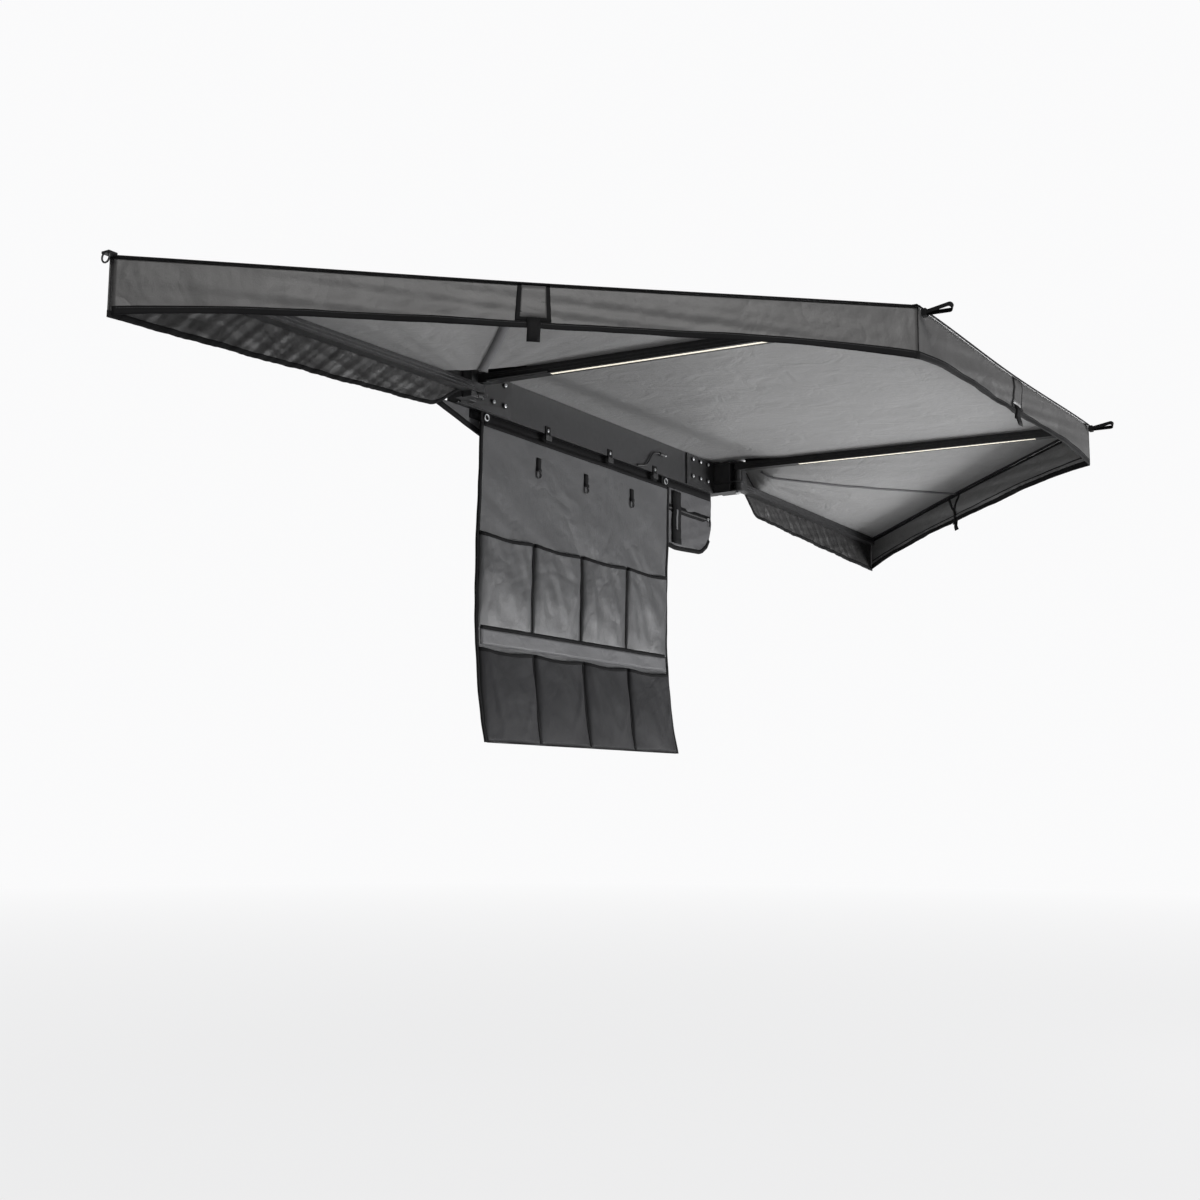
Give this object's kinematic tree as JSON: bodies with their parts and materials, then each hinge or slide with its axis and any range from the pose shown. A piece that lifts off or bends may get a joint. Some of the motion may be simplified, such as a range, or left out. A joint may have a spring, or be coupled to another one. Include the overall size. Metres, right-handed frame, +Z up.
{
  "type": "rear vehicle awning",
  "caption": "Wall rail with hinged swinging arms that spread a fan canopy with hanging valances over the back of a vehicle, and a hanging pocket organiser.",
  "frame": {"origin": "centre of the rail's flat rear mounting face", "axes": "+X along the rail to the right seen from behind the vehicle, +Y towards the vehicle, out of the mounting face, +Z up"},
  "size_m": [3.9571, 1.4216, 1.0333],
  "materials": {
    "rail": "powder coated, matt",
    "bracket": "powder coated, matt",
    "arm": "black anodised",
    "zinc": "zinc plated",
    "black_plastic": "moulded",
    "light": "frosted light diffuser, warm white",
    "canopy": "coated ripstop canvas",
    "valance": "coated canvas",
    "webbing": "woven webbing",
    "organiser": "coated canvas",
    "mesh": "close woven",
    "cover": "coated heavy cloth"
  },
  "bodies": {
    "frame": {"rail": "rail", "rail_cap_left": "black_plastic", "rail_cap_right": "black_plastic", "hinge_bracket_left": "bracket", "hinge_bracket_right": "bracket", "pivot_bolt_left": "zinc", "pivot_bolt_right": "zinc", "hinge_spacer_left": "zinc", "hinge_spacer_right": "zinc", "hanging_clip_1": "webbing", "hanging_clip_2": "webbing", "hanging_clip_3": "webbing", "travel_cover": "cover", "cover_zip": "mesh", "rail_lead": "black_plastic", "rail_lead_plug": "black_plastic", "canopy_centre": "canopy", "valance_front": "valance"},
    "left_centre_arm": {"arm_centre_left": "arm", "arm_cap_centre_left": "black_plastic", "light_strip_centre_left": "light", "light_lead_left": "black_plastic", "corner_loop_left": "webbing", "canopy_wing_left": "canopy", "valance_left": "valance"},
    "right_centre_arm": {"arm_centre_right": "arm", "arm_cap_centre_right": "black_plastic", "light_strip_centre_right": "light", "light_lead_right": "black_plastic", "corner_loop_right": "webbing", "canopy_wing_right": "canopy", "valance_right": "valance"},
    "left_outer_arm": {"arm_outer_left": "arm", "arm_cap_outer_left": "black_plastic", "tip_ring_left": "zinc", "rear_skirt_left": "valance"},
    "right_outer_arm": {"arm_outer_right": "arm", "arm_cap_outer_right": "black_plastic", "tip_ring_right": "zinc", "rear_skirt_right": "valance"},
    "organiser": {"organiser_panel": "organiser", "organiser_pockets_upper": "organiser", "organiser_pockets_lower": "mesh", "organiser_band": "webbing", "hook_ring_1": "zinc", "hook_ring_2": "zinc", "hook_ring_3": "zinc", "eyelet_left": "zinc", "eyelet_right": "zinc"}
  },
  "joints": [
    {"name": "left_centre_swing", "type": "hinge", "parent": "frame", "child": "left_centre_arm", "pos_m": [-0.713, -0.092, 0], "axis": [0, 0, 1], "range_deg": [0, 89], "deforming": ["canopy_centre", "valance_front"]},
    {"name": "right_centre_swing", "type": "hinge", "parent": "frame", "child": "right_centre_arm", "pos_m": [0.713, -0.132, 0], "axis": [0, 0, -1], "range_deg": [0, 89]},
    {"name": "left_outer_swing", "type": "hinge", "parent": "left_centre_arm", "child": "left_outer_arm", "pos_m": [-0.713, -0.092, 0], "axis": [0, 0, 1], "range_deg": [0, 89], "deforming": ["canopy_wing_left", "valance_left", "rear_skirt_left"]},
    {"name": "right_outer_swing", "type": "hinge", "parent": "right_centre_arm", "child": "right_outer_arm", "pos_m": [0.713, -0.132, 0], "axis": [0, 0, -1], "range_deg": [0, 89], "deforming": ["canopy_wing_right", "valance_right", "rear_skirt_right"]},
    {"name": "organiser_swing", "type": "hinge", "parent": "frame", "child": "organiser", "pos_m": [0, -0.0425, -0.061], "axis": [-1, 0, 0], "range_deg": [0, 60]}
  ],
  "couplings": [
    {"joint": "right_centre_swing", "follows": "left_centre_swing", "ratio": 1}
  ]
}
